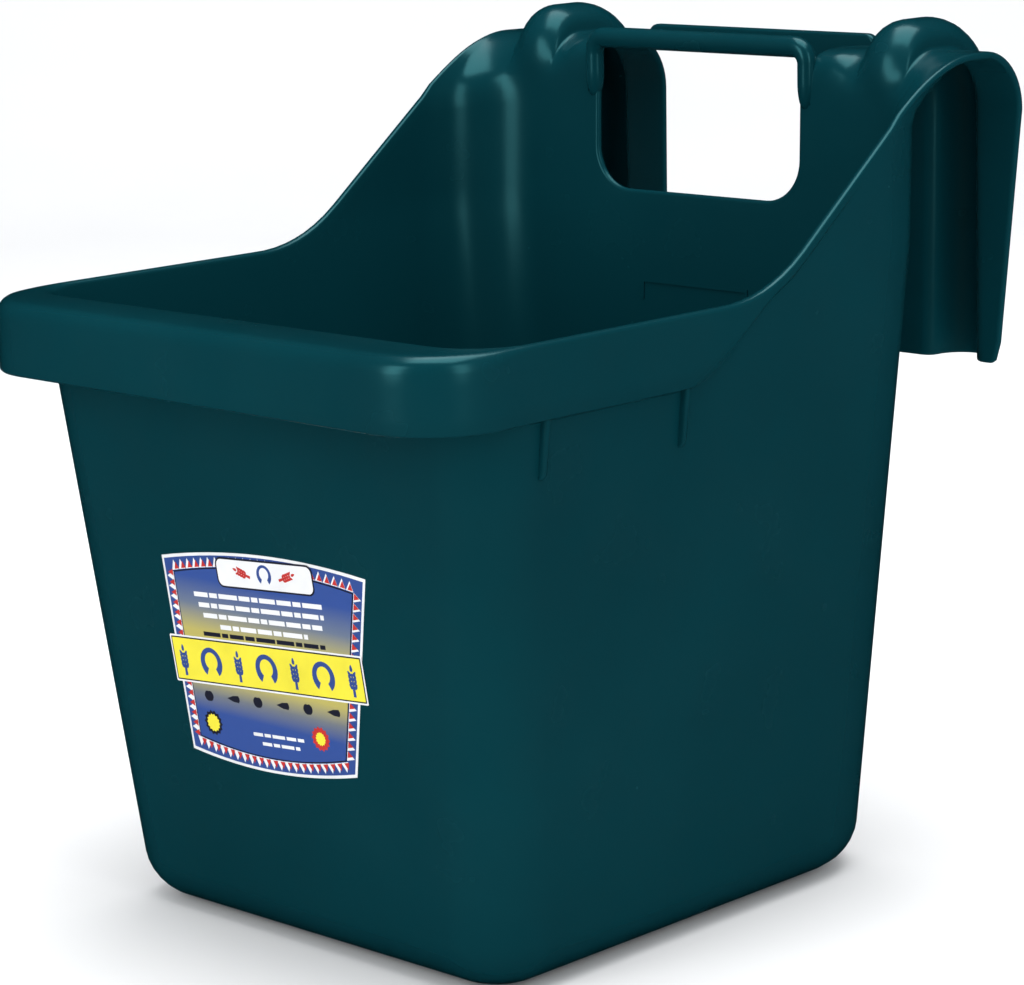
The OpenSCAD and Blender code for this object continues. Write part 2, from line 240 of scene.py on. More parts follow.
def lip_column(column):
    """A column's points: up the inside, over the crown, under the lip, and down the outside."""
    rim_y = ring_xy(column, RIM_Z, 0)[1]
    side = column[0] == "side"
    top_z = slope_z(rim_y) if side else RIM_Z
    low_z = band_z(rim_y) if side else SKIRT_Z
    edge = lip_edge(column)
    if side:
        edge = np.array([HALF_W, ring_xy(column, top_z, 0)[1]])
    inner_top = ring_xy(column, top_z, WALL)
    span = np.linalg.norm(edge - inner_top)
    inner_r = min(LIP_INNER_R, 0.44 * span)
    outer_r = min(LIP_OUTER_R, 0.44 * span)

    def inward(q, z):
        return point(edge + (inner_top - edge) * q / span, z)

    inside = round_points(column, FLOOR_R - WALL, WALL)
    for share in WALL_ROWS[1:]:
        z = lerp(FLOOR_R, top_z - inner_r, share)
        inside.append(point(ring_xy(column, z, WALL), z))
    first, last = inside[-1], inward(span - inner_r, top_z)
    crown = []
    for i in range(1, ARC_STEPS + 1):
        a = math.pi / 2 * i / ARC_STEPS
        xy = lerp(first[:2], last[:2], 1 - math.cos(a))
        crown.append(point(xy, top_z - inner_r * (1 - math.sin(a))))
    for i in range(ARC_STEPS + 1):
        a = math.pi / 2 * i / ARC_STEPS
        crown.append(inward(outer_r * (1 - math.sin(a)), top_z - outer_r * (1 - math.cos(a))))

    low_wall = outer_xy(column, low_z)
    step = np.linalg.norm(edge - low_wall)
    hollow = smooth((np.linalg.norm(edge - outer_xy(column, RIM_Z)) - 3) / 8)
    bottom_r = 1.5
    drop = 1.0
    under_z = lerp(low_z, RIM_Z - WALL, hollow)
    under = [inward(0, lerp(top_z - outer_r, low_z + lerp(drop, bottom_r, hollow), i / BAND_STEPS))
             for i in range(1, BAND_STEPS + 1)]

    def behind(q, z):
        wall_xy = outer_xy(column, z)
        reach = np.linalg.norm(wall_xy - edge)
        return point(edge + (wall_xy - edge) * min(q / max(reach, 1e-6), 1), z)

    # A hanging skirt where the lip stands well out, and a soft step in the wall where it doesn't
    skirt = [(bottom_r * (1 - math.cos(a)), low_z + bottom_r * (1 - math.sin(a)))
             for a in (math.pi / 6, math.pi / 3, math.pi / 2)]
    skirt += [(WALL - 1.2, low_z), (WALL, low_z + 1.2), (WALL, under_z - 2.5), (WALL + 0.8, under_z - 0.8),
              (WALL + 2.5, under_z)]
    for k, (q, z) in enumerate(skirt):
        f = (k + 1) / len(skirt)
        soft = (step * smooth(f), low_z + drop * (1 - 2 * f))
        under.append(behind(lerp(soft[0], q, hollow), lerp(soft[1], z, hollow)))
    wall_top = lerp(low_z - 2 * drop, under_z, hollow)
    outside = [point(outer_xy(column, z), z) for z in
               (lerp(wall_top, FLOOR_R, 1 - share) for share in reversed(WALL_ROWS))]
    outside += round_points(column, FLOOR_R, 0)[-2::-1]
    return inside, crown, under, outside


# ---------------------------------------------------------------- the hooks
CURL_STEPS, BEND_STEPS, PLATE_STEPS = 14, 14, 12
STAGES = [("curl", i / CURL_STEPS) for i in range(1, CURL_STEPS + 1)]
STAGES += [("bend", i / BEND_STEPS) for i in range(1, BEND_STEPS + 1)]
STAGES += [("plate", i / PLATE_STEPS) for i in range(1, PLATE_STEPS + 1)]
CORNER_ROUND = 5


def hook_point(x, stage, inset):
    """A point of the hook's plain sheet: it curls over, bends down, and hangs as a plate."""
    part, f = stage
    turn = min(max((x - CORNER_X) / REAR_R, 0), 1)
    lead = smooth(turn)
    r = REAR_R - WALL + inset
    foot = np.array([min(x, CORNER_X) + r * turn, CORNER_Y + r * math.sqrt(1 - turn * turn),
                     lerp(CURL_Z, SHOULDER_Z, turn)])
    top = np.array([x, CREST_Y, CREST_Z - inset])
    run = top - foot
    square = smooth((DOME_X - 1.25 * DOME_HALF_W - x) / 10)
    leave = np.array([0.3 * run[0], 0.43 * lead * run[1], lerp(0.55 + 0.3 * square, 0.77, lead) * run[2]])
    arrive = np.array([0.3 * run[0], lerp(0.55 + 0.3 * square, 0.31, lead) * run[1], 0])
    if part == "curl":
        g = 1 - f
        return (g ** 3 * foot + 3 * f * g * g * (foot + leave)
                + 3 * f * f * g * (top - arrive) + f ** 3 * top)
    if part == "bend":
        a = math.pi / 2 * f
        return np.array([x, BEND_Y + (BEND_R - inset) * math.sin(a), BEND_Z + (BEND_R - inset) * math.cos(a)])
    return np.array([x, PLATE_Y - inset, lerp(BEND_Z, PLATE_Z, f)])


def plate_f(stage):
    return stage[1] if stage[0] == "plate" else 0.0


PLATE_DOME_GROWTH = 1.2
POST_LEAN = 3.5
# Across the dome: distance from its middle in half widths, and height as a share of its own
FLARE = 0.2
DOME_ACROSS = [(1 + FLARE * (1 - math.sin(a)), 0.16 * (1 - math.cos(a)))
               for a in (math.pi / 2 * i / 4 for i in range(5))]
DOME_ACROSS += [(math.cos(a), 0.16 + 0.84 * math.sin(a)) for a in (math.pi * i / 14 for i in range(1, 8))]
DOME_ACROSS += [(-d, h) for d, h in DOME_ACROSS[-2::-1]]
OUTER_COLUMNS = 9
# The next column after the outer edge keeps clear of the rounding there
EDGE_CLEAR = 2.4
INNER_COLUMNS = 5


def hook_columns(stage):
    """Distances across the hook at a stage, from its outer edge inwards, with the dome's lift at each.

    The plate narrows downwards. Where the curl starts, the inner edge leans towards the grip's post.
    """
    down = plate_f(stage)
    width = DOME_HALF_W + PLATE_DOME_GROWTH * down
    outer = HALF_W - HOOK_TAPER * down
    inner = HOOK_IN + down
    if stage[0] == "curl" and stage[1] > 0:
        inner -= POST_LEAN * (1 - smooth(stage[1]))
    dome = [(DOME_X + width * d * 0.97, dome_lift(d, h, stage)) for d, h in DOME_ACROSS]
    first, last = dome[0][0], dome[-1][0]
    steps = OUTER_COLUMNS - 1
    left = [(outer, 0.0)] + [(lerp(outer - EDGE_CLEAR, first, i / steps), 0.0) for i in range(steps)]
    right = [(lerp(last, inner, i / INNER_COLUMNS), 0.0) for i in range(1, INNER_COLUMNS + 1)]
    return left + dome + right


def dome_lift(d, h, stage):
    """The dome's section: half round over the hook, and a soft swelling where it starts."""
    swelling = math.cos(math.pi / 2 * min(abs(d) / (1 + FLARE), 1)) ** 2
    share = smooth((stage[1] - 0.1) / 0.75) if stage[0] == "curl" else 1.0
    return lerp(swelling, h, share)


def dome_rise(stage):
    """The dome's height at a stage."""
    part, f = stage
    height = DOME_TOP_Z - CREST_Z
    if part == "curl":
        return height * smooth(f + 0.02)
    if part == "bend":
        return lerp(height, CHANNEL, f)
    return CHANNEL


def away(stage):
    """The way out of the hook's sheet at a stage."""
    part, f = stage
    a = math.pi / 2 * f
    if part == "curl":
        return np.array([0, -math.cos(a), math.sin(a)])
    if part == "bend":
        return np.array([0, math.sin(a), math.cos(a)])
    return np.array([0, 1, 0])


def round_corner(p, outer, inner):
    """Rounds the plate's two lower corners."""
    r = CORNER_ROUND
    b = r - (p[2] - PLATE_Z)
    if b <= 0:
        return p
    for edge, sign in ((outer, -1), (inner, 1)):
        a = r - sign * (p[0] - edge)
        if a > 0:
            p = p.copy()
            p[0] = edge + sign * (r - a * math.sqrt(max(1 - b * b / (2 * r * r), 0)))
            p[2] = PLATE_Z + r - b * math.sqrt(max(1 - a * a / (2 * r * r), 0))
            return p
    return p


def normals(grid, wall_side):
    """Unit normals of a grid of points, all on the side that wall_side says."""
    du = np.gradient(grid, axis=1)
    dv = np.gradient(grid, axis=0)
    n = np.cross(du, dv)
    n /= np.maximum(np.linalg.norm(n, axis=2, keepdims=True), 1e-9)
    return n * wall_side


REAR_COLUMNS = [("rear", x) for x, _ in hook_columns(("curl", 0.0))]


def hook_skins():
    """The hook's upper and lower skins, as grids of points."""
    top = []
    plain = []
    for stage in STAGES:
        spread = hook_columns(stage)
        outer, inner = spread[0][0], spread[-1][0]
        lift = away(stage) * dome_rise(stage)
        top.append([round_corner(hook_point(x, stage, 0) + lift * h, outer, inner) for x, h in spread])
        plain.append([round_corner(hook_point(x, stage, WALL), outer, inner) for x, _ in spread])
    top, plain = np.array(top), np.array(plain)
    n = normals(top, 1)
    if (n[-1, 0] @ np.array([0, 1, 0])) < 0:
        n = -n
    under = top - n * WALL
    for j, (part, f) in enumerate(STAGES):
        share = smooth((f - 0.05) / 0.7) if part == "curl" else 1.0
        under[j] = lerp(plain[j], under[j], share)
    return top, under


# ---------------------------------------------------------------- the mesh that everything joins
class Shell:
    """Grids of points that weld into one skin, whose faces carry the name of their piece."""

    def __init__(self):
        self.points = []
        self.faces = []
        self.names = []

    def grid(self, rows, name):
        """Adds a grid. The name is a word, or a function of a face's row and column."""
        rows = np.asarray(rows)
        m, n = rows.shape[:2]
        start = len(self.points)
        self.points.extend(rows.reshape(-1, 3))
        for j in range(m - 1):
            for i in range(n - 1):
                a = start + j * n + i
                self.faces.append([a, a + 1, a + n + 1, a + n])
                self.names.append(name(j, i) if callable(name) else name)


def rim_sections(tops, unders, outward):
    """Half-round sections between two skins along a free edge, and pulls the skins back to meet them."""
    sections = []
    for p, q, b in zip(tops, unders, outward):
        v = (p - q) / 2
        r = np.linalg.norm(v)
        middle = (p + q) / 2 - b * r
        angles = [math.pi * i / CROWN_STEPS for i in range(CROWN_STEPS + 1)]
        sections.append([middle + v * math.cos(a) + b * r * math.sin(a) for a in angles])
    return np.array(sections)


def edge_direction(path, across, guess):
    """For each point of an edge, the way out of the sheet: square to the edge and to its thickness."""
    tangent = np.gradient(path, axis=0)
    out = []
    for t, v in zip(tangent, across):
        b = unit(np.cross(unit(t), unit(v)))
        guess = unit(b if b @ guess >= 0 else -b)
        out.append(guess)
    return np.array(out)


def build_shell():
    """The right half of the moulding, in named grids."""
    shell = Shell()
    front_steps, corner_steps, side_steps = 8, 18, 34
    columns = [("front", i / front_steps) for i in range(front_steps)]
    columns += [("front_corner", math.pi / 2 * (i / corner_steps - 1)) for i in range(corner_steps)]
    columns += [("side", i / side_steps) for i in range(side_steps + 1)]
    profiles = [lip_column(c) for c in columns]
    names = ["front_wall"] * front_steps + ["front_corner"] * corner_steps + ["side_wall"] * side_steps

    def wall_name(j, i):
        return names[i]

    def rim_name(j, i):
        return "side_rim" if names[i] == "side_wall" else "front_lip"

    inside = np.array([p[0] for p in profiles]).transpose(1, 0, 2)
    crown = np.array([[p[0][-1]] + p[1] for p in profiles]).transpose(1, 0, 2)
    under = np.array([[p[1][-1]] + p[2] + [p[3][0]] for p in profiles]).transpose(1, 0, 2)
    outside = np.array([p[3] for p in profiles]).transpose(1, 0, 2)
    shell.grid(inside, wall_name)
    shell.grid(crown, rim_name)
    shell.grid(under, rim_name)
    shell.grid(outside, wall_name)

    # The rear: the corner's columns take the last side column's heights, scaled to their own top
    last = profiles[-1]

    def scaled(z, column):
        turn = min(max((column[1] - CORNER_X) / REAR_R, 0), 1) if column[0] == "rear" else 0
        foot = lerp(CURL_Z, SHOULDER_Z, turn)
        return z if z <= FLOOR_R else FLOOR_R + (z - FLOOR_R) * (foot - FLOOR_R) / (SHOULDER_Z - FLOOR_R)

    in_levels = [p[2] for p in last[0][ROUND_STEPS:]]
    out_levels = [last[1][-1][2]] + [p[2] for p in last[2]] + [p[2] for p in last[3][:len(WALL_ROWS)]]

    def rear_inside(column):
        return round_points(column, FLOOR_R - WALL, WALL) + [
            point(ring_xy(column, scaled(z, column), WALL), scaled(z, column)) for z in in_levels[1:]]

    def rear_outside(column):
        return [point(ring_xy(column, scaled(z, column), 0), scaled(z, column)) for z in out_levels] \
            + round_points(column, FLOOR_R, 0)[-2::-1]

    rear_in = np.array([rear_inside(c) for c in REAR_COLUMNS]).transpose(1, 0, 2)
    rear_out = np.array([rear_outside(c) for c in REAR_COLUMNS]).transpose(1, 0, 2)
    rear_in[:, 0] = last[0]
    rear_out[:, 0] = [last[1][-1]] + last[2] + last[3]
    corner_count = sum(1 for c in REAR_COLUMNS if c[1] > CORNER_X)
    rim_row = ROUND_STEPS + HOLE_ROW

    def rear_name(j, i):
        return "rear_wall" if i >= corner_count else "rear_corner"

    shell.grid(rear_in, rear_name)
    shell.grid(rear_out, rear_name)

    # The hook's two skins, with their free edge all the way round
    top, below = hook_skins()
    top = np.concatenate([rear_in[-1:], top])
    below = np.concatenate([rear_out[:1], below])
    rows, cols = top.shape[:2]
    path = [(j, 0) for j in range(rows)] + [(rows - 1, k) for k in range(1, cols)]
    path += [(j, cols - 1) for j in range(rows - 2, 0, -1)]
    tops = np.array([top[p] for p in path])
    unders = np.array([below[p] for p in path])
    outward = edge_direction((tops + unders) / 2, tops - unders, np.array([0.0, -0.6, 0.8]))
    sections = rim_sections(tops, unders, outward)
    sections[0] = [last[0][-1]] + last[1]
    for (j, k), section in zip(path, sections):
        top[j, k] = section[0]
        below[j, k] = section[-1]
    first_dome = OUTER_COLUMNS
    last_dome = OUTER_COLUMNS + len(DOME_ACROSS) - 1

    def hook_name(k):
        if k < first_dome:
            return "hook_outer_strap"
        return "hook_dome" if k < last_dome else "hook_inner_strap"

    shell.grid(top, lambda j, i: hook_name(i))
    shell.grid(below[::-1], lambda j, i: hook_name(i))

    def edge_name(j):
        a, b = path[j][1], path[min(j + 1, len(path) - 1)][1]
        return hook_name(min(a, b) if min(a, b) < cols - 1 else cols - 2)

    shell.grid(sections, lambda j, i: edge_name(j))

    # The back wall, below and round the hand hole
    back_steps = 12
    back_columns = [("rear", HOOK_IN)]
    back_columns += [("back", HOOK_IN * (1 - i / back_steps)) for i in range(1, back_steps + 1)]
    back_in = np.array([rear_inside(c) for c in back_columns]).transpose(1, 0, 2)
    back_out = np.array([rear_outside(c) for c in back_columns]).transpose(1, 0, 2)
    shell.grid(back_in[:rim_row + 1], "rear_wall")
    low_row = len(back_out) - 1 - rim_row
    shell.grid(back_out[low_row:], "rear_wall")

    centre = np.array([HOLE_HALF_W - HOLE_R, HOLE_Z + HOLE_R])
    top_z = back_in[-1, 0, 2]
    straight = top_z - centre[1]
    quarter = HOLE_R * math.pi / 2

    def hole_outline(travel):
        """A point of the hole's outline, from its upper corner down and in, and the way into the hole."""
        if travel <= straight:
            return [HOLE_HALF_W, top_z - travel], [-1, 0]
        if travel < straight + quarter:
            a = -(travel - straight) / HOLE_R
            d = np.array([math.cos(a), math.sin(a)])
            return centre + HOLE_R * d, -d
        return [max(centre[0] - (travel - straight - quarter), 0), HOLE_Z], [0, 1]

    upright = len(back_in) - 1 - rim_row
    stops = [(0, 0), (3, straight), (upright, straight + quarter / 2),
             (upright + 6, straight + quarter), (upright + back_steps, straight + quarter + centre[0])]
    travels = np.interp(range(upright + back_steps + 1), *zip(*stops))
    outline = [hole_outline(t) for t in travels]
    hole_in = np.array([[p[0], back_y(p[1]) - WALL, p[1]] for p, _ in outline])
    hole_out = np.array([[p[0], back_y(p[1]), p[1]] for p, _ in outline])
    into = np.array([unit(np.array([d[0], BACK_DRAFT * d[1], d[1]])) for _, d in outline])
    hole_sections = rim_sections(hole_in, hole_out, into)

    def panel(level_z, inset, edge):
        """The back wall round the hole, from the border that it shares to the hole's edge."""
        border = [(HOOK_IN, lerp(top_z, level_z, i / upright)) for i in range(upright)]
        border += [(x, level_z) for x in back_in[rim_row, :, 0]]
        if inset:
            border[:upright] = [(HOOK_IN, z) for z in back_in[:rim_row:-1, 0, 2]]
        rows = []
        for f in (0, 0.25, 0.5, 0.75):
            rows.append([])
            for (x, z), end in zip(border, edge):
                x, z = lerp(x, end[0], f), lerp(z, end[2], f)
                rows[-1].append([x, back_y(z) - inset, z])
        return np.array(rows + [list(edge)])

    shell.grid(panel(back_in[rim_row, 0, 2], WALL, hole_sections[:, 0]), "back_panel")
    shell.grid(panel(back_out[low_row, 0, 2], 0, hole_sections[:, -1]), "back_panel")
    shell.grid(hole_sections, "back_panel")

    # The floor
    all_columns = columns + REAR_COLUMNS[1:] + back_columns[1:]
    shell.grid(np.array([floor_points(c, WALL, FLOOR_R) + [round_points(c, FLOOR_R - WALL, WALL)[0]]
                         for c in all_columns]).transpose(1, 0, 2), "tub_floor")
    shell.grid(np.array([floor_points(c, 0, FLOOR_R) + [round_points(c, FLOOR_R, 0)[0]]
                         for c in all_columns]).transpose(1, 0, 2), "tub_floor")
    return shell


# ---------------------------------------------------------------- pieces
SIDED = ("front_corner", "side_wall", "rear_corner", "side_rim",
         "hook_outer_strap", "hook_inner_strap", "hook_dome")
# The frame's nodes that each moulded piece takes the place of
STANDS_FOR = {
    "tub_floor": ["tub_floor"],
    "front_wall": ["front_wall"],
    "rear_wall": ["rear_wall"],
    "front_lip": ["front_lip"],
    "back_panel": ["back_panel"],
    "front_corner": ["front_%s_corner"],
    "rear_corner": ["rear_%s_corner"],
    "side_wall": ["%s_wall", "%s_cheek"],
    "side_rim": ["%s_side_lip"],
    "hook_outer_strap": ["%s_hook_outer_strap"],
    "hook_inner_strap": ["%s_hook_inner_strap"],
    "hook_dome": ["%s_hook_dome", "%s_dome_root"],
}


def to_frame(p):
    return Vector((p[0] * MM, (p[1] + SHIFT_Y) * MM, p[2] * MM))


def add_piece(mesh, name, material, nodes):
    piece = bpy.data.objects.new(name, mesh)
    bpy.context.collection.objects.link(piece)
    mesh.materials.append(material)
    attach(piece, "root")
    if nodes:
        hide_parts(*nodes)


WELD, SLIVER = 0.06, 0.01


def moulding_pieces(shell, material):
    """Welds both halves of the shell, takes its normals, and cuts it into its pieces along their seams."""
    names = sorted(set(shell.names))
    whole = bmesh.new()
    layer = whole.faces.layers.int.new("piece")
    for side in (1, -1):
        verts = [whole.verts.new((p[0] * side, p[1], p[2])) for p in shell.points]
        for face, name in zip(shell.faces, shell.names):
            made = whole.faces.new([verts[i] for i in face])
            made[layer] = names.index(name) * 2 + (side < 0 and name in SIDED)
    bmesh.ops.remove_doubles(whole, verts=whole.verts, dist=WELD)
    bmesh.ops.dissolve_degenerate(whole, edges=whole.edges, dist=SLIVER)
    bmesh.ops.recalc_face_normals(whole, faces=whole.faces)
    whole.normal_update()
    for key in sorted({f[layer] for f in whole.faces}):
        name, side = names[key // 2], ("right", "left")[key % 2]
        faces = [f for f in whole.faces if f[layer] == key]
        used = {}
        for f in faces:
            for v in f.verts:
                used.setdefault(v, len(used))
        mesh = bpy.data.meshes.new(name)
        mesh.from_pydata([to_frame(v.co) for v in used], [], [[used[v] for v in f.verts] for f in faces])
        mesh.shade_smooth()
        mesh.normals_split_custom_set_from_vertices([v.normal[:] for v in used])
        title = "%s_%s" % (side, name) if name in SIDED else name
        nodes = [n % side if "%s" in n else n for n in STANDS_FOR[name]]
        add_piece(mesh, "moulded_" + title, material, nodes)
    whole.free()


def tube(path, radii, segments):
    """A round bar along a path, closed by a flat face at each end."""
    mesh = bmesh.new()
    rings = []
    tangents = np.gradient(np.array(path), axis=0)
    for p, r, t in zip(path, radii, tangents):
        t = unit(t)
        across = np.array([0.0, 1.0, 0.0])
        other = unit(np.cross(t, across))
        rings.append([mesh.verts.new(to_frame(p + r * (across * math.cos(a) + other * math.sin(a))))
                      for a in (2 * math.pi * i / segments for i in range(segments))])
    for low, high in zip(rings, rings[1:]):
        for i in range(segments):
            mesh.faces.new((low[i], low[(i + 1) % segments], high[(i + 1) % segments], high[i]))
    for ring in (rings[0], rings[-1]):
        mesh.faces.new(ring)
    bmesh.ops.recalc_face_normals(mesh, faces=mesh.faces)
    data = bpy.data.meshes.new("bar")
    mesh.to_mesh(data)
    mesh.free()
    data.shade_smooth()
    return data


def grip_mesh():
    """The grip bar, whose two ends turn down and sink into the back wall beside the hand hole."""
    low, high = box_mm("handle_grip")
    grip_r = (high[1] - low[1]) / 2
    bar_z = high[2] - grip_r
    post_x = (HOLE_HALF_W + HOOK_IN) / 2
    post_foot, post_steps, round_steps = CURL_Z - 6, 16, 9
    bend, bend_steps = 7, 8
    half = []
    for i in range(post_steps + 1):
        z = lerp(post_foot, bar_z - bend, i / post_steps)
        half.append((post_x, z, lerp(0.8, grip_r - 0.6, math.sqrt(1 - (1 - min(i / round_steps, 1)) ** 2))))
    for i in range(1, bend_steps + 1):
        a = math.pi / 2 * i / bend_steps
        half.append((post_x - bend * (1 - math.cos(a)), bar_z - bend + bend * math.sin(a),
                     grip_r - 0.5 + 0.5 * i / bend_steps))
    middle = [(lerp(post_x - bend, bend - post_x, i / 10), bar_z, grip_r) for i in range(1, 10)]
    route = half + middle + [(-x, z, r) for x, z, r in reversed(half)]
    path = [np.array([x, back_y(min(z, CURL_Z)) - WALL / 2, z]) for x, z, _ in route]
    return tube(path, [r for _, _, r in route], 32)


def extruded(outline, depth, place, bevel, segments=1):
    """A flat outline given thickness and rounded edges. place turns its (x, y, z) into tub millimetres."""
    mesh = bmesh.new()
    face = mesh.faces.new([mesh.verts.new((x, y, 0)) for x, y in outline])
    made = bmesh.ops.extrude_face_region(mesh, geom=[face])
    top = [v for v in made["geom"] if isinstance(v, bmesh.types.BMVert)]
    bmesh.ops.translate(mesh, verts=top, vec=(0, 0, depth))
    bmesh.ops.recalc_face_normals(mesh, faces=mesh.faces)
    if bevel:
        sharp = [e for e in mesh.edges if e.calc_face_angle(0) > 0.6]
        bmesh.ops.bevel(mesh, geom=sharp, offset=bevel, segments=segments, profile=0.5, affect="EDGES")
    for v in mesh.verts:
        v.co = to_frame(place(v.co))
    bmesh.ops.recalc_face_normals(mesh, faces=mesh.faces)
    data = bpy.data.meshes.new("flat")
    mesh.to_mesh(data)
    mesh.free()
    data.shade_smooth()
    data.set_sharp_from_angle(angle=math.radians(40))
    return data


def arc_points(cx, cy, r, start, end, steps):
    return [(cx + r * math.cos(math.radians(lerp(start, end, i / steps))),
             cy + r * math.sin(math.radians(lerp(start, end, i / steps)))) for i in range(steps + 1)]


def rounded_box(w, h, r, steps=6):
    return (arc_points(w - r, h - r, r, 0, 90, steps) + arc_points(r - w, h - r, r, 90, 180, steps)
            + arc_points(r - w, r - h, r, 180, 270, steps) + arc_points(w - r, r - h, r, 270, 360, steps))


def tie_bar_mesh():
    low, high = box_mm("rear_tie_bar")
    y = low[1] - SHIFT_Y
    half = HOOK_IN + 1.5
    outline = [(-half, low[2])] + [(half, low[2])] + arc_points(half - 6, high[2] - 6, 6, 0, 90, 8)
    outline += arc_points(6 - half, high[2] - 6, 6, 90, 180, 8)
    return extruded(outline, high[1] - low[1], lambda p: (p[0], y + p[2], p[1]), bevel=1.6, segments=5)


def rib_mesh(node, side):
    """A stacking rib: a small fin below the side lip, on the side of the given sign."""
    low, high = box_mm(node)
    y = low[1] - SHIFT_Y
    bottom = low[2]

    top = SKIRT_Z + 1

    def wall_x(z):
        return half_w(z) - 0.8
    outline = [(wall_x(top), top), (wall_x(bottom), bottom), (wall_x(bottom) + 2.2, bottom + 0.4),
               (half_w(bottom) + 2.8, bottom + 2.5), (HALF_W - 0.7, top)]
    thickness = high[1] - low[1]
    return extruded(outline, thickness, lambda p: (side * p[0], y + p[2], p[1]), bevel=1.0, segments=4)


# ---------------------------------------------------------------- materials
def new_material(name):
    material = bpy.data.materials.new(name)
    material.use_nodes = True
    tree = material.node_tree
    return material, tree, tree.nodes["Principled BSDF"]


def noise(tree, coordinates, scale, detail):
    node = tree.nodes.new("ShaderNodeTexNoise")
    node.inputs["Scale"].default_value = scale
    node.inputs["Detail"].default_value = detail
    tree.links.new(coordinates, node.inputs["Vector"])
    return node.outputs["Fac"]


def ramp(tree, factor, stops):
    node = tree.nodes.new("ShaderNodeValToRGB")
    while len(node.color_ramp.elements) < len(stops):
        node.color_ramp.elements.new(0.5)
    for element, (place, colour) in zip(node.color_ramp.elements, stops):
        element.position = place
        element.color = (*colour, 1)
    tree.links.new(factor, node.inputs["Fac"])
    return node.outputs["Color"]


def to_range(tree, factor, low, high, source=(0.1, 0.9)):
    node = tree.nodes.new("ShaderNodeMapRange")
    node.inputs["From Min"].default_value, node.inputs["From Max"].default_value = source
    node.inputs["To Min"].default_value, node.inputs["To Max"].default_value = low, high
    tree.links.new(factor, node.inputs["Value"])
    return node.outputs["Result"]


def bump(tree, height, strength, distance, under=None):
    node = tree.nodes.new("ShaderNodeBump")
    node.inputs["Strength"].default_value = strength
    node.inputs["Distance"].default_value = distance
    tree.links.new(height, node.inputs["Height"])
    if under is not None:
        tree.links.new(under, node.inputs["Normal"])
    return node.outputs["Normal"]


def object_coordinates(tree):
    return tree.nodes.new("ShaderNodeTexCoord").outputs["Object"]


def moulded_plastic():
    """Glossy teal polyethylene: faint cloudy colour, uneven gloss, orange peel and long flow lines."""
    material, tree, shader = new_material("moulded_plastic")
    place = object_coordinates(tree)
    clouds = noise(tree, place, 7.0, 4.0)
    colour = ramp(tree, clouds, [(0.25, (0.0010, 0.029, 0.038)), (0.55, (0.0012, 0.033, 0.043)),
                                 (0.8, (0.0015, 0.038, 0.049))])
    tree.links.new(colour, shader.inputs["Base Color"])
    tree.links.new(to_range(tree, noise(tree, place, 30.0, 3.0), 0.19, 0.31), shader.inputs["Roughness"])
    peel = bump(tree, noise(tree, place, 900.0, 2.0), 0.1, 0.0001)
    waves = bump(tree, noise(tree, place, 42.0, 2.0), 0.06, 0.0004, peel)
    tree.links.new(waves, shader.inputs["Normal"])
    shader.inputs["IOR"].default_value = 1.5
    shader.inputs["Specular Tint"].default_value = (0.22, 0.82, 0.88, 1)
    return material


def satin(tree, place, shader):
    """The film's slightly uneven satin gloss."""
    tree.links.new(to_range(tree, noise(tree, place, 220.0, 2.0), 0.32, 0.44), shader.inputs["Roughness"])


def ink(name, colour):
    """Ink on film, with a fine mottle."""
    material, tree, shader = new_material(name)
    place = object_coordinates(tree)
    darker = tuple(c * 0.88 for c in colour)
    mottle = noise(tree, place, 60.0, 3.0)
    tree.links.new(ramp(tree, mottle, [(0.3, darker), (0.7, colour)]), shader.inputs["Base Color"])
    satin(tree, place, shader)
    tree.links.new(bump(tree, noise(tree, place, 500.0, 2.0), 0.08, 0.00005), shader.inputs["Normal"])
    return material


def graded_film(name, low_z, high_z, stops):
    """Printed film whose colour changes with height."""
    material, tree, shader = new_material(name)
    place = object_coordinates(tree)
    split = tree.nodes.new("ShaderNodeSeparateXYZ")
    tree.links.new(place, split.inputs["Vector"])
    height = to_range(tree, split.outputs["Z"], 0.0, 1.0, (low_z * MM, high_z * MM))
    tree.links.new(ramp(tree, height, stops), shader.inputs["Base Color"])
    satin(tree, place, shader)
    return material


# ---------------------------------------------------------------- the label
# Its middle, width and height, and its corners from the middle as shares of them
LABEL_X, LABEL_Z = -2, 134
LABEL_W, LABEL_H = 130, 88
LABEL_CORNERS = [(0.515, 0.51), (-0.477, 0.42), (-0.43, -0.59), (0.377, -0.52)]
# How far the top and bottom edges bow out, and how far the printing is turned
LABEL_BOW = 5
TILT = math.radians(4.5)
LEAN = math.atan(FRONT_DRAFT)
# The printing is stacked in layers of this height
LAYER = 0.05


def on_label(layer):
    """Places a flat shape on the front wall: x across the label, y up it, z out of it."""
    def place(p):
        up, out = p[1], p[2] + layer * LAYER
        z = LABEL_Z + up * math.cos(LEAN) - out * math.sin(LEAN)
        y = front_y(LABEL_Z) - up * math.sin(LEAN) - out * math.cos(LEAN)
        return (LABEL_X + p[0], y, z)
    return place


def joined(meshes):
    """Several small flat shapes as one mesh."""
    mesh = bmesh.new()
    for part in meshes:
        mesh.from_mesh(part)
        bpy.data.meshes.remove(part)
    data = bpy.data.meshes.new("print")
    mesh.to_mesh(data)
    mesh.free()
    return data


def printed(outlines, layer):
    return joined([extruded(outline, LAYER, on_label(layer), bevel=0) for outline in outlines])


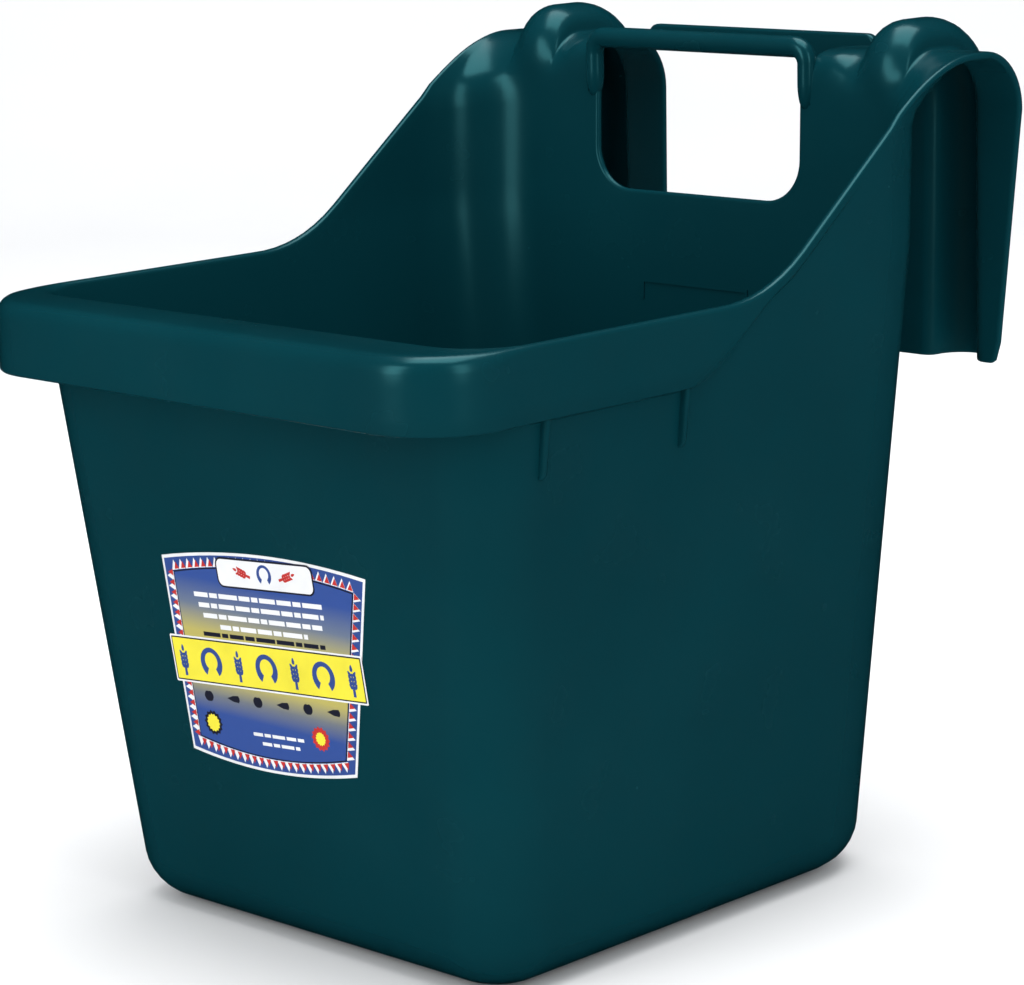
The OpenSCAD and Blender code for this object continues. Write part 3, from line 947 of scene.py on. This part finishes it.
def label_outline(inset):
    """The label's outline, or a line that runs inside it."""
    corners = [np.array([x * LABEL_W, y * LABEL_H]) for x, y in LABEL_CORNERS]
    sides = [unit(b - a) for a, b in zip(corners, corners[1:] + corners[:1])]
    inner = []
    for k, corner in enumerate(corners):
        before, after = sides[k - 1], sides[k]
        inner.append(corner + inset * (after - before) / abs(before[0] * after[1] - before[1] * after[0]))
    points = []
    for k, sign in ((0, 1), (2, -1)):
        for f in (i / 16 for i in range(17)):
            bow = sign * 4 * LABEL_BOW * f * (1 - f)
            points.append(tuple(lerp(inner[k], inner[k + 1], f) + [0, bow]))
    return points


def trim_triangles(inset, pitch, width, height):
    """Small triangles along a line inside the outline, pointing outwards."""
    line = [np.array(p) for p in label_outline(inset)]
    runs = [(np.linalg.norm(b - a), a, b) for a, b in zip(line, line[1:] + line[:1])]
    total = sum(length for length, _, _ in runs)
    count = int(total / pitch)
    triangles = []
    for n in range(count):
        run = (n + 0.5) * total / count
        for length, a, b in runs:
            if run <= length:
                along = unit(b - a)
                out = np.array([along[1], -along[0]])
                middle = a + along * run
                triangles.append([tuple(middle - along * width / 2), tuple(middle + along * width / 2),
                                  tuple(middle + out * height)])
                break
            run -= length
    return triangles


def turned(outlines, cx, cy, angle=TILT):
    """Outlines turned, by the printing's own tilt if nothing else is said, and moved to a place."""
    c, s = math.cos(angle), math.sin(angle)
    return [[(cx + x * c - y * s, cy + x * s + y * c) for x, y in outline] for outline in outlines]


def horseshoe(cx, cy, r, width, steps=20):
    outer = arc_points(cx, cy, r, -55, 235, steps)
    inner = arc_points(cx, cy + 0.1 * r, r - width, 235, -55, steps)
    return outer + inner


def leaf(cx, cy, length, angle, width):
    points = [(length * math.cos(t) / 2, width * math.sin(t) / 2 * (1 - 0.35 * math.cos(t)))
              for t in (2 * math.pi * i / 16 for i in range(16))]
    return turned([points], cx, cy, math.radians(angle))[0]


def grain_ear(cx, cy, size):
    parts = [[(cx - 0.16 * size, cy - size), (cx + 0.16 * size, cy - size), (cx + 0.1 * size, cy + size),
              (cx - 0.1 * size, cy + size)]]
    for k in range(4):
        for side in (-1, 1):
            parts.append(leaf(cx + side * 0.3 * size, cy + (k * 0.36 - 0.1) * size, 0.55 * size,
                              90 - side * 32, 0.28 * size))
    parts.append(leaf(cx, cy + 1.45 * size, 0.6 * size, 90, 0.3 * size))
    return parts


def apple(cx, cy, r):
    """An apple's outline: nearly round, with a dip at the top and a smaller one at the bottom."""
    points = []
    for t in (2 * math.pi * i / 40 for i in range(40)):
        across, up = math.cos(t), math.sin(t)
        dip = 0.22 * abs(up) ** 12 * (1 if up > 0 else -0.5)
        points.append((cx + r * across * (1 + 0.06 * math.cos(2 * t)), cy + r * (up - dip)))
    return points


def carrot(cx, cy, length, width):
    return [(cx - length / 2, cy), (cx, cy + width * 0.42), (cx + length * 0.42, cy + width / 2),
            (cx + length / 2, cy + width * 0.2), (cx + length / 2, cy - width * 0.2),
            (cx + length * 0.42, cy - width / 2), (cx, cy - width * 0.42)]


WORD_GAP, SHORTEST_WORD = 1.1, 2


def dashes(top, rows, gap, height, shares):
    """Rows of short bars with small gaps, like lines of print seen from too far off to read."""
    outlines = []
    for k, width in enumerate(rows):
        x = -width / 2
        for n in range(len(shares) * 4):
            run = shares[(n + 3 * k) % len(shares)]
            end = min(x + run, width / 2)
            y = top - k * gap
            outlines.append([(x, y - height), (end, y - height), (end, y), (x, y)])
            x = end + WORD_GAP
            if x > width / 2 - SHORTEST_WORD:
                break
    return outlines


def rosette(cx, cy, r, points=14):
    """A round seal with a notched edge."""
    outline = []
    for i in range(2 * points):
        reach, a = r * (1 + 0.09 * (-1) ** i), math.pi * i / points
        outline.append((cx + reach * math.cos(a), cy + reach * math.sin(a)))
    return outline


def label_pieces():
    """The film and, above it, its printing. The film stands for the label, the rest rides with it."""
    white = ink("film_white", (0.80, 0.81, 0.82))
    blue = ink("ink_blue", (0.024, 0.068, 0.28))
    red = ink("ink_red", (0.55, 0.022, 0.018))
    yellow = ink("ink_yellow", (0.84, 0.74, 0.03))
    dark = ink("ink_dark", (0.012, 0.014, 0.03))
    deep, straw = (0.024, 0.070, 0.29), (0.46, 0.40, 0.10)
    field = graded_film("ink_field", LABEL_Z - LABEL_H / 2, LABEL_Z + LABEL_H / 2,
                        [(0.14, deep), (0.23, (0.15, 0.17, 0.20)), (0.33, straw),
                         (0.56, straw), (0.70, (0.13, 0.17, 0.25)), (0.84, deep)])

    def cameo(outlines):
        return turned(outlines, 4.5, 37.0)

    def band(outlines):
        return turned(outlines, -0.7, -5.3)

    cameo_ears = sum((turned(grain_ear(0, 0, 4.0), x, 0, a) for x, a in ((-13, 1.25), (13, -1.25))), [])
    band_ears = sum((grain_ear(x, -2.6, 5.2) for x in (-54, -18, 18, 54)), [])
    horseshoes = [horseshoe(x, -0.6, 7.0, 2.9) for x in (-36, 0, 36)]
    print_rows = dashes(26.5, (84, 80, 76, 56), 4.7, 2.1, (9, 5, 12, 7, 4, 10))
    small_rows = dashes(8.4, (78,), 5, 1.9, (11, 4, 9, 6, 12))
    foot_rows = dashes(-35.5, (34, 24), 4.0, 1.5, (6, 4, 8))
    treats = [apple(x, 0, 2.7) for x in (-40, -8, 24)] + [carrot(x, 0, 8, 3.2) for x in (-24, 8, 40)]
    film = extruded(label_outline(0), 3 * LAYER, on_label(0), bevel=LAYER, segments=2)
    add_piece(film, "label_film", white, ["label"])
    for name, outlines, layer, material in (
            ("border", [label_outline(1.3)], 3, blue),
            ("trim_white", trim_triangles(6.3, 4.6, 4.4, 4.5), 4, white),
            ("trim", trim_triangles(6.0, 4.6, 3.1, 3.2), 5, red),
            ("field_line", [label_outline(6.6)], 6, dark),
            ("field", [label_outline(7.1)], 7, field),
            ("print", turned(print_rows, 1, 0), 8, white),
            ("small_print", turned(small_rows, 0, 0), 8, dark),
            ("cameo_line", cameo([rounded_box(30.8, 6.8, 3.6)]), 8, dark),
            ("cameo", cameo([rounded_box(30, 6.0, 3.0)]), 9, white),
            ("cameo_ears", cameo(cameo_ears), 10, red),
            ("cameo_shoe", cameo([horseshoe(0, 0.4, 4.6, 1.7)]), 10, blue),
            ("band_edge", band([rounded_box(61.4, 10.8, 0.6, 2)]), 8, white),
            ("band", band([rounded_box(60.6, 10.0, 0.4, 2)]), 9, dark),
            ("band_field", band([rounded_box(60.0, 9.4, 0.3, 2)]), 10, yellow),
            ("horseshoes", band(horseshoes), 11, blue),
            ("ears", band(band_ears), 11, blue),
            ("marks", turned(treats, -1, -21.5), 8, dark),
            ("rosette", [rosette(29, -32, 5.2)], 8, red),
            ("rosette_heart", [rosette(29, -32, 2.9)], 9, yellow),
            ("seal", [rosette(-40, -37, 5.4)], 8, dark),
            ("seal_heart", [rosette(-40, -37, 3.9)], 9, yellow),
            ("foot_print", turned(foot_rows, 0, 0), 8, white)):
        add_piece(printed(outlines, layer), "label_" + name, material, [])


# ---------------------------------------------------------------- the bucket
plastic = moulded_plastic()
moulding_pieces(build_shell(), plastic)
add_piece(grip_mesh(), "grip_bar", plastic, ["handle_grip"])
add_piece(tie_bar_mesh(), "tie_bar", plastic, ["rear_tie_bar"])
for side_name, sign in (("right", 1), ("left", -1)):
    for place_name in ("front", "rear"):
        cad_name = "%s_%s_stacking_rib" % (side_name, place_name)
        rib_name = "rib_%s_%s" % (side_name, place_name)
        add_piece(rib_mesh(cad_name, sign), rib_name, plastic, [cad_name])
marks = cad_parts["level_marks"]
marks.data.materials.clear()
marks.data.materials.append(plastic)
label_pieces()


# ---------------------------------------------------------------- studio
VIEW_AZIMUTH = 43.82
# The floor lies this far below the bucket's own underside, so that the two faces don't coincide
FLOOR_GAP = 0.0002


def studio_surface():
    material, tree, shader = new_material("studio_white")
    place = object_coordinates(tree)
    stops = [(0.3, (0.86, 0.86, 0.86)), (0.7, (0.9, 0.9, 0.9))]
    tree.links.new(ramp(tree, noise(tree, place, 2.0, 3.0), stops), shader.inputs["Base Color"])
    shader.inputs["Roughness"].default_value = 0.9
    return material


def add_floor():
    """A pale floor that curves up into a backdrop behind the bucket."""
    steps, reach, radius, flat, height = 24, 6.0, 1.5, 2.2, 5.0
    profile = [(-reach, 0.0)]
    for i in range(steps + 1):
        a = math.pi / 2 * i / steps
        profile.append((flat + radius * math.sin(a), radius * (1 - math.cos(a))))
    profile.append((flat + radius, height))
    turn = Matrix.Rotation(math.radians(VIEW_AZIMUTH), 3, "Z")
    verts = [turn @ Vector((x, y, z - FLOOR_GAP)) for y, z in profile for x in (-reach, reach)]
    faces = [[2 * i, 2 * i + 1, 2 * i + 3, 2 * i + 2] for i in range(len(profile) - 1)]
    mesh = bpy.data.meshes.new("studio_floor")
    mesh.from_pydata(verts, [], faces)
    mesh.shade_smooth()
    mesh.materials.append(studio_surface())
    floor = bpy.data.objects.new("studio_floor", mesh)
    bpy.context.collection.objects.link(floor)
    # Only the lamps show in the plastic's gloss, as in the dark surroundings of a product studio
    floor.visible_glossy = False


def add_light(name, position, target, size, power):
    light = bpy.data.lights.new(name, "AREA")
    light.shape = "RECTANGLE"
    light.size, light.size_y = size
    light.energy = power
    lamp = bpy.data.objects.new(name, light)
    bpy.context.collection.objects.link(lamp)
    lamp.location = position
    lamp.rotation_euler = (Vector(target) - Vector(position)).to_track_quat("-Z", "Y").to_euler()


def add_camera():
    """The photograph's view: its azimuth, elevation, roll and distance, and what it looks at."""
    azimuth, elevation, roll = math.radians(VIEW_AZIMUTH), math.radians(11.90), math.radians(-1.34)
    target = Vector((0.00347, -0.01165, 0.18165))
    back = Vector((math.sin(azimuth) * math.cos(elevation), -math.cos(azimuth) * math.cos(elevation),
                   math.sin(elevation)))
    right = (-back).cross(Vector((0, 0, 1))).normalized()
    up = right.cross(-back)
    rolled_right = right * math.cos(roll) + up * math.sin(roll)
    rolled_up = up * math.cos(roll) - right * math.sin(roll)
    matrix = Matrix((rolled_right, rolled_up, back)).transposed().to_4x4()
    matrix.translation = target + back * 1.5886
    camera = bpy.data.objects.new("camera", bpy.data.cameras.new("camera"))
    bpy.context.collection.objects.link(camera)
    camera.matrix_world = matrix
    camera.data.sensor_width = 36
    camera.data.lens = 123.07
    bpy.context.scene.camera = camera


add_camera()
add_floor()
add_light("window_left", (-0.2, -2.3, 1.0), (0, 0, 0.2), (0.9, 1.8), 19)
add_light("window_right", (2.35, -0.58, 1.0), (0, 0, 0.2), (0.7, 1.8), 11)
add_light("ceiling", (0.2, 0.1, 2.6), (0, 0, 0), (2.4, 2.0), 60)
world = bpy.data.worlds.new("studio")
world.use_nodes = True
background = world.node_tree.nodes["Background"]
background.inputs["Color"].default_value = (0.95, 0.97, 1.0, 1)
background.inputs["Strength"].default_value = 0.86
bpy.context.scene.world = world
world.cycles_visibility.glossy = False
bpy.context.scene.view_settings.view_transform = "Standard"

bpy.context.view_layer.update()
